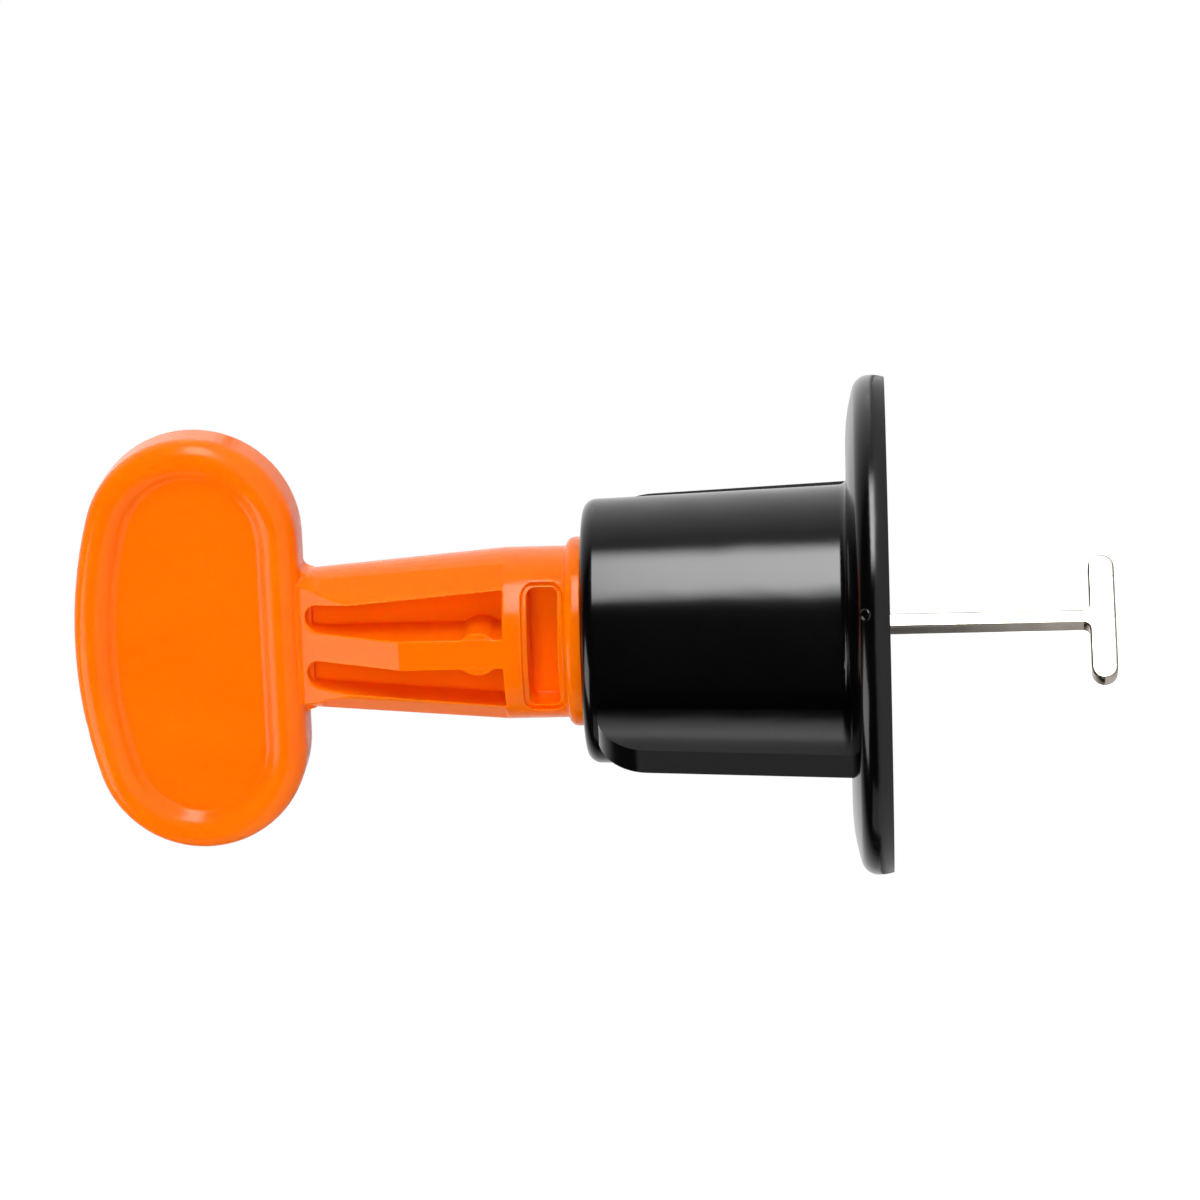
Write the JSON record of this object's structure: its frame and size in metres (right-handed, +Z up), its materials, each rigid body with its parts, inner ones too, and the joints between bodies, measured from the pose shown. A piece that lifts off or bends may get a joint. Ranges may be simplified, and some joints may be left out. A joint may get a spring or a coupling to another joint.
{
  "type": "tile levelling clip",
  "caption": "Reusable tile levelling clip: turning an orange screw grip draws a steel T-shaped needle up through a black winged flange cap and pulls neighbouring tiles level.",
  "frame": {"origin": "middle of the flange's lower face, on the screw's axis, where the clip stands on the tiles", "axes": "+Z up along the screw's axis to the grip, +X along the width of the grip, -Y towards the picture's side"},
  "size_m": [0.04, 0.04, 0.0835],
  "materials": {
    "black_plastic": "glossy moulded",
    "orange_plastic": "glossy moulded, slightly translucent",
    "bright_steel": "bright nickel"
  },
  "bodies": {
    "cap": {"cap": "black_plastic"},
    "needle": {"needle": "bright_steel"},
    "handle": {"handle": "orange_plastic"}
  },
  "joints": [
    {"name": "needle_lift", "type": "slide", "parent": "cap", "child": "needle", "axis": [0, 0, 1], "range_m": [0, 0.012]},
    {"name": "handle_turn", "type": "hinge", "parent": "needle", "child": "handle", "pos_m": [0, 0, 0.0165], "axis": [0, 0, 1], "range_deg": [0, 1440]}
  ],
  "couplings": [
    {"joint": "needle_lift", "follows": "handle_turn", "m_per_rad": 0.00047746}
  ]
}
